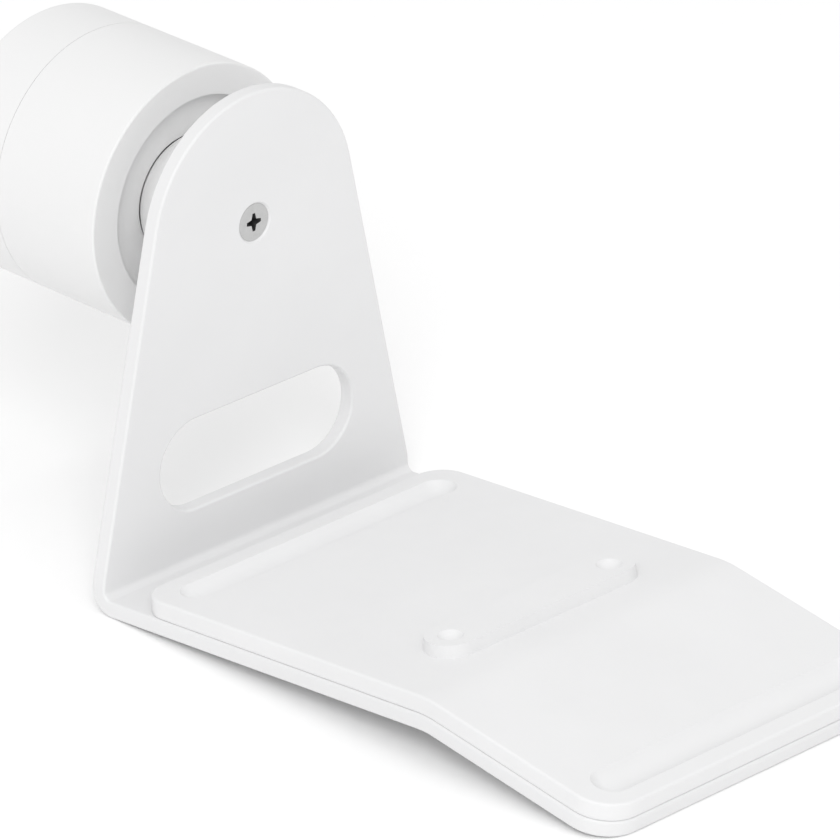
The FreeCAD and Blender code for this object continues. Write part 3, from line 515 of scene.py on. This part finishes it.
def studio_floor(colour):
    finish = Finish("studio_floor", colour, 0.85)
    finish.drive("Base Color", finish.between(finish.noise(0.6, detail=2.0), scaled(colour, 0.995),
                                              scaled(colour, 1.005)))
    finish.set("Specular IOR Level", 0.15)
    return finish.material


def drum_axis_point():
    """A point on the drum's axis, from the round window's box."""
    low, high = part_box("front_window")
    return (low + high) / 2


def finish_nodes(material, *names):
    """Give carried-over nodes a finish in every slot that they have."""
    for name in names:
        for slot in NODES[name].material_slots:
            slot.material = material


# ---------------------------------------------------------------- shapes
def mesh_piece(name, shape, material, node):
    """Turn a bmesh into a piece that rides with a node's body."""
    bmesh.ops.recalc_face_normals(shape, faces=shape.faces)
    mesh = bpy.data.meshes.new(name)
    shape.to_mesh(mesh)
    shape.free()
    piece = bpy.data.objects.new(name, mesh)
    bpy.context.scene.collection.objects.link(piece)
    mesh.materials.append(material)
    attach(piece, BODY_OF[node])
    return piece


def revolved(profile, centre, segments):
    """Closed solid turned about the Y axis from (radius, distance towards -Y) points that start and
    end on the axis."""
    shape = bmesh.new()
    loops = []
    for radius, back in profile[1:-1]:
        loops.append([
            shape.verts.new(centre + Vector((radius * math.cos(turn), -back, radius * math.sin(turn))))
            for turn in (2 * math.pi * step / segments for step in range(segments))
        ])
    first = shape.verts.new(centre + Vector((0, -profile[0][1], 0)))
    last = shape.verts.new(centre + Vector((0, -profile[-1][1], 0)))
    for step in range(segments):
        after = (step + 1) % segments
        shape.faces.new((first, loops[0][step], loops[0][after]))
        shape.faces.new((last, loops[-1][after], loops[-1][step]))
        for near, far in zip(loops, loops[1:]):
            shape.faces.new((near[step], far[step], far[after], near[after]))
    return shape


def cross_cutter(centre, settings):
    """Tapered four-winged cutter for the screw's cross recess, with wings that flare to the middle."""
    root_flare, end_flare, floor_share = 1.45, 0.8, 0.55
    rise = Vector((0, 0.2 * MILLIMETRE, 0))
    depth = Vector((0, settings.recess_depth, 0))
    shape = bmesh.new()
    mouth, tip = [], []
    half = settings.wing_width / 2
    corners = ((half * root_flare, half * root_flare), (settings.recess_radius, half * end_flare),
               (settings.recess_radius, -half * end_flare))
    for quarter in range(4):
        turn = Matrix.Rotation(quarter * math.pi / 2, 3, "Y")
        for x, z in corners:
            wide = turn @ Vector((x, 0, z))
            mouth.append(shape.verts.new(centre + wide + rise))
            tip.append(shape.verts.new(centre + wide * floor_share - depth))
    count = len(mouth)
    shape.faces.new(mouth)
    shape.faces.new(list(reversed(tip)))
    for step in range(count):
        after = (step + 1) % count
        shape.faces.new((mouth[step], tip[step], tip[after], mouth[after]))
    bmesh.ops.recalc_face_normals(shape, faces=shape.faces)
    return shape


def cut_from(piece, cutter_shape):
    """Apply a boolean cut to a piece's mesh."""
    mesh = bpy.data.meshes.new("cutter")
    cutter_shape.to_mesh(mesh)
    cutter_shape.free()
    cutter = bpy.data.objects.new("cutter", mesh)
    bpy.context.scene.collection.objects.link(cutter)
    cut = piece.modifiers.new("cut", "BOOLEAN")
    cut.operation = "DIFFERENCE"
    cut.solver = "EXACT"
    cut.object = cutter
    bake_modifiers(piece)
    bpy.data.objects.remove(cutter)
    weld(piece)


def weld(piece):
    """Join the coincident points that a cut leaves."""
    shape = bmesh.new()
    shape.from_mesh(piece.data)
    bmesh.ops.remove_doubles(shape, verts=shape.verts, dist=WELD_REACH)
    shape.to_mesh(piece.data)
    shape.free()


def bake_modifiers(piece):
    """Apply every modifier to the piece's own mesh."""
    depsgraph = bpy.context.evaluated_depsgraph_get()
    result = bpy.data.meshes.new_from_object(piece.evaluated_get(depsgraph))
    piece.modifiers.clear()
    piece.data = result


def shade_with_crisp_edges(piece):
    """Smooth shading that keeps sharp edges."""
    piece.data.shade_smooth()
    piece.data.set_sharp_from_angle(angle=CREASE_ANGLE)


# ---------------------------------------------------------------- operators
class MONITOR_OT_bracket(bpy.types.Operator):
    """Powder coat the bent steel bracket"""

    bl_idname = "monitor.bracket"
    bl_label = "Bracket"

    def execute(self, context):
        look = context.scene.monitor_finish
        finish_nodes(powder_coat(look.powder_colour, look.powder_grain), "bracket")
        return {"FINISHED"}


class MONITOR_OT_grip_pad(bpy.types.Operator):
    """Finish the silicone grip pad and the adhesive under it"""

    bl_idname = "monitor.grip_pad"
    bl_label = "Grip pad"

    def execute(self, context):
        look = context.scene.monitor_finish
        finish_nodes(moulded_silicone(look.silicone_colour, look.silicone_grain), "grip_pad")
        finish_nodes(adhesive_sheet(), "pad_adhesive")
        return {"FINISHED"}


class MONITOR_OT_dome(bpy.types.Operator):
    """Lacquer the magnetic dome and finish its dowels"""

    bl_idname = "monitor.dome"
    bl_label = "Magnetic dome"

    def execute(self, context):
        finish_nodes(dome_lacquer(context.scene.monitor_finish.lacquer_colour), "dome_mount")
        low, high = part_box("dome_dowels")
        finish_nodes(plated_steel("dowel_steel", (0.50, 0.50, 0.51), (low + high) / 2), "dome_dowels")
        return {"FINISHED"}


class MONITOR_OT_dome_screw(bpy.types.Operator):
    """Make the countersunk screw with a tapered cross recess and turned head"""

    bl_idname = "monitor.dome_screw"
    bl_label = "Countersunk screw"

    def execute(self, context):
        sizes = context.scene.monitor_screw
        low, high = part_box("dome_screw")
        centre = Vector(((low.x + high.x) / 2, high.y, (low.z + high.z) / 2))
        length = high.y - low.y
        cone_end = sizes.head_rim + sizes.head_radius - sizes.shank_radius
        chamfer_depth, point_radius = sizes.head_chamfer * 0.7, sizes.shank_radius * 0.75
        profile = [(0, 0), (sizes.head_radius - sizes.head_chamfer, 0),
                   (sizes.head_radius, chamfer_depth), (sizes.head_radius, sizes.head_rim),
                   (sizes.shank_radius, cone_end), (sizes.shank_radius, length - sizes.point_length),
                   (point_radius, length), (0, length)]
        steel = plated_steel("screw_steel", sizes.steel_colour, centre, 0.00022)
        body = revolved(profile, centre, sizes.segments)
        screw = mesh_piece("countersunk_screw", body, steel, "dome_screw")
        cut_from(screw, cross_cutter(centre, sizes))
        # Painted shade: the recess walls and floor get a near-black finish
        self.paint_shade_in_recess(screw, centre, sizes)
        shade_with_crisp_edges(screw)
        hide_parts("dome_screw")
        return {"FINISHED"}

    def paint_shade_in_recess(self, screw, centre, sizes):
        """Paint the walls and floor of the cross recess near-black, as painted shade."""
        screw.data.materials.append(recess_film(sizes.recess_shade_colour))
        shade_slot = len(screw.data.materials) - 1
        shallowest, deepest = 0.02 * MILLIMETRE, sizes.recess_depth * 1.02
        for face in screw.data.polygons:
            away = face.center - centre
            aside = Vector((away.x, away.z)).length
            if aside < sizes.recess_radius and shallowest < -away.y < deepest:
                face.material_index = shade_slot


class MONITOR_OT_magnet_seat(bpy.types.Operator):
    """Finish the glide disc, ball seat, magnet, steel pot and its retaining ring"""

    bl_idname = "monitor.magnet_seat"
    bl_label = "Magnetic seat"

    def execute(self, context):
        finish_nodes(turned_acetal(), "glide_disc", "ball_seat")
        finish_nodes(nickel_plate(), "ring_magnet")
        finish_nodes(plated_steel("pot_steel", (0.52, 0.52, 0.53), drum_axis_point(), 0.0004),
                     "magnet_pot", "pot_retainer", "retainer_screws")
        return {"FINISHED"}


class MONITOR_OT_drum(bpy.types.Operator):
    """Finish the drum's two shells, their seal, screws and pairing button"""

    bl_idname = "monitor.drum"
    bl_label = "Drum"

    def execute(self, context):
        look = context.scene.monitor_finish
        finish_nodes(moulded_shell(look.shell_colour, look.shell_grain), "rear_housing", "front_shell")
        finish_nodes(soft_black_rubber(), "case_seal", "window_gasket", "speaker_gasket", "light_baffle")
        finish_nodes(plated_steel("case_screw_steel", (0.50, 0.50, 0.51), drum_axis_point(), 0.0003),
                     "case_screws", "board_screws", "stack_screws")
        finish_nodes(button_plastic(look.button_colour), "pair_button")
        return {"FINISHED"}


class MONITOR_OT_window(bpy.types.Operator):
    """Finish the smoked front window"""

    bl_idname = "monitor.window"
    bl_label = "Front window"

    def execute(self, context):
        finish_nodes(smoked_window(context.scene.monitor_finish), "front_window")
        return {"FINISHED"}


class MONITOR_OT_boards(bpy.types.Operator):
    """Finish the boards, chips, shield cans, power socket, speaker and antenna"""

    bl_idname = "monitor.boards"
    bl_label = "Boards"

    def execute(self, context):
        finish_nodes(solder_mask(), "main_board", "sensor_board", "led_board")
        finish_nodes(moulded_epoxy(), "processor", "memory_chip", "board_header", "button_switch", "speaker")
        finish_nodes(thermal_gel(), "thermal_pad")
        finish_nodes(bead_blasted_aluminium(), "heat_sink", "capacitors")
        finish_nodes(plated_steel("shield_steel", (0.56, 0.56, 0.57), drum_axis_point(), 0.0009),
                     "wifi_module", "usb_socket", "microphone")
        finish_nodes(copper_film(), "antenna", "led_ribbon", "shutter_coil")
        finish_nodes(turned_brass(), "lower_standoffs", "upper_standoffs")
        return {"FINISHED"}


class MONITOR_OT_optics(bpy.types.Operator):
    """Finish the sensor, lens, infrared shutter and lamps"""

    bl_idname = "monitor.optics"
    bl_label = "Optics and lamps"

    def execute(self, context):
        finish_nodes(black_resin(), "lens_holder", "lens_barrel", "filter_frame")
        finish_nodes(sensor_cells(), "image_sensor")
        finish_nodes(coated_glass("front_lens_glass", (0.62, 0.60, 0.80), (0.40, 0.55, 0.62), 0.75),
                     "front_lens")
        finish_nodes(coated_glass("plain_glass", (0.92, 0.96, 0.96), (0.84, 0.93, 0.95), 0.95),
                     "rear_lens", "clear_glass")
        finish_nodes(coated_glass("cut_filter_glass", (0.60, 0.16, 0.20), (0.35, 0.30, 0.55), 0.80),
                     "ir_cut_glass")
        finish_nodes(coated_glass("lamp_epoxy", (0.80, 0.80, 0.74), (0.66, 0.66, 0.60), 0.55),
                     "ir_leds", "light_sensor", "status_led")
        return {"FINISHED"}


class MONITOR_OT_stage(bpy.types.Operator):
    """Lay the pale floor, hang the soft lights and place the camera"""

    bl_idname = "monitor.stage"
    bl_label = "Stage"

    def execute(self, context):
        stage = context.scene.monitor_stage
        self.lay_floor(context, stage)
        self.light_room(context, stage)
        self.place_camera(context, stage)
        context.scene.view_settings.view_transform = "Standard"
        return {"FINISHED"}

    def lay_floor(self, context, stage):
        half = stage.floor_half
        mesh = bpy.data.meshes.new("studio_floor")
        corners = [(x, y, -FLOOR_DROP)
                   for x, y in ((-half, -half), (half, -half), (half, half), (-half, half))]
        mesh.from_pydata(corners, [], [(0, 1, 2, 3)])
        floor = bpy.data.objects.new("studio_floor", mesh)
        context.scene.collection.objects.link(floor)
        mesh.materials.append(studio_floor(stage.floor_colour))

    def light_room(self, context, stage):
        world = bpy.data.worlds.new("white_room")
        world.use_nodes = True
        background = world.node_tree.nodes["Background"]
        background.inputs["Color"].default_value = (1.0, 1.0, 1.0, 1.0)
        background.inputs["Strength"].default_value = stage.world_strength
        context.scene.world = world
        aim = Vector(stage.aim)
        for name, azimuth, elevation, diameter, power in SOFT_LIGHTS:
            back = direction(math.radians(azimuth), math.radians(elevation))
            data = bpy.data.lights.new(name, "AREA")
            data.shape = "DISK"
            data.size = diameter
            data.energy = getattr(stage, power)
            light = bpy.data.objects.new(name, data)
            context.scene.collection.objects.link(light)
            light.location = aim + back * stage.light_distance
            light.rotation_euler = back.to_track_quat("Z", "Y").to_euler()

    def place_camera(self, context, stage):
        data = bpy.data.cameras.new("studio_camera")
        data.sensor_width = SENSOR_WIDTH
        data.lens = stage.lens
        camera = bpy.data.objects.new("studio_camera", data)
        context.scene.collection.objects.link(camera)
        back = direction(stage.azimuth, stage.elevation)
        right = Vector((math.cos(stage.azimuth), math.sin(stage.azimuth), 0.0))
        up = back.cross(right)
        basis = Matrix((right, up, back)).transposed().to_4x4()
        roll = Matrix.Rotation(stage.roll, 4, "Z")
        camera.matrix_world = Matrix.Translation(Vector(stage.aim) + back * stage.distance) @ basis @ roll
        context.scene.camera = camera


def direction(azimuth, elevation):
    """Unit vector from the object towards a camera or light; azimuth 0 lies on -Y."""
    return Vector((math.sin(azimuth) * math.cos(elevation), -math.cos(azimuth) * math.cos(elevation),
                   math.sin(elevation)))


OPERATORS = (
    MONITOR_OT_bracket,
    MONITOR_OT_grip_pad,
    MONITOR_OT_dome,
    MONITOR_OT_dome_screw,
    MONITOR_OT_magnet_seat,
    MONITOR_OT_drum,
    MONITOR_OT_window,
    MONITOR_OT_boards,
    MONITOR_OT_optics,
    MONITOR_OT_stage,
)


class MONITOR_PT_panel(bpy.types.Panel):
    """Lists the pieces and the stage"""

    bl_label = "Monitor camera"
    bl_idname = "MONITOR_PT_panel"
    bl_space_type = "VIEW_3D"
    bl_region_type = "UI"
    bl_category = "Monitor Camera"

    def draw(self, context):
        column = self.layout.column(align=True)
        for operator in OPERATORS:
            column.operator(operator.bl_idname)


SETTINGS = {
    "monitor_finish": MonitorFinishSettings,
    "monitor_screw": MonitorScrewSettings,
    "monitor_stage": MonitorStageSettings,
}


def register():
    for settings in SETTINGS.values():
        bpy.utils.register_class(settings)
    for operator in OPERATORS:
        bpy.utils.register_class(operator)
    bpy.utils.register_class(MONITOR_PT_panel)
    for name, settings in SETTINGS.items():
        setattr(bpy.types.Scene, name, PointerProperty(type=settings))


def unregister():
    for name in SETTINGS:
        delattr(bpy.types.Scene, name)
    bpy.utils.unregister_class(MONITOR_PT_panel)
    for operator in reversed(OPERATORS):
        bpy.utils.unregister_class(operator)
    for settings in reversed(list(SETTINGS.values())):
        bpy.utils.unregister_class(settings)


def main():
    register()
    bpy.ops.monitor.bracket()
    bpy.ops.monitor.grip_pad()
    bpy.ops.monitor.dome()
    bpy.ops.monitor.dome_screw()
    bpy.ops.monitor.magnet_seat()
    bpy.ops.monitor.drum()
    bpy.ops.monitor.window()
    bpy.ops.monitor.boards()
    bpy.ops.monitor.optics()
    bpy.ops.monitor.stage()


if __name__ == "__main__":
    main()
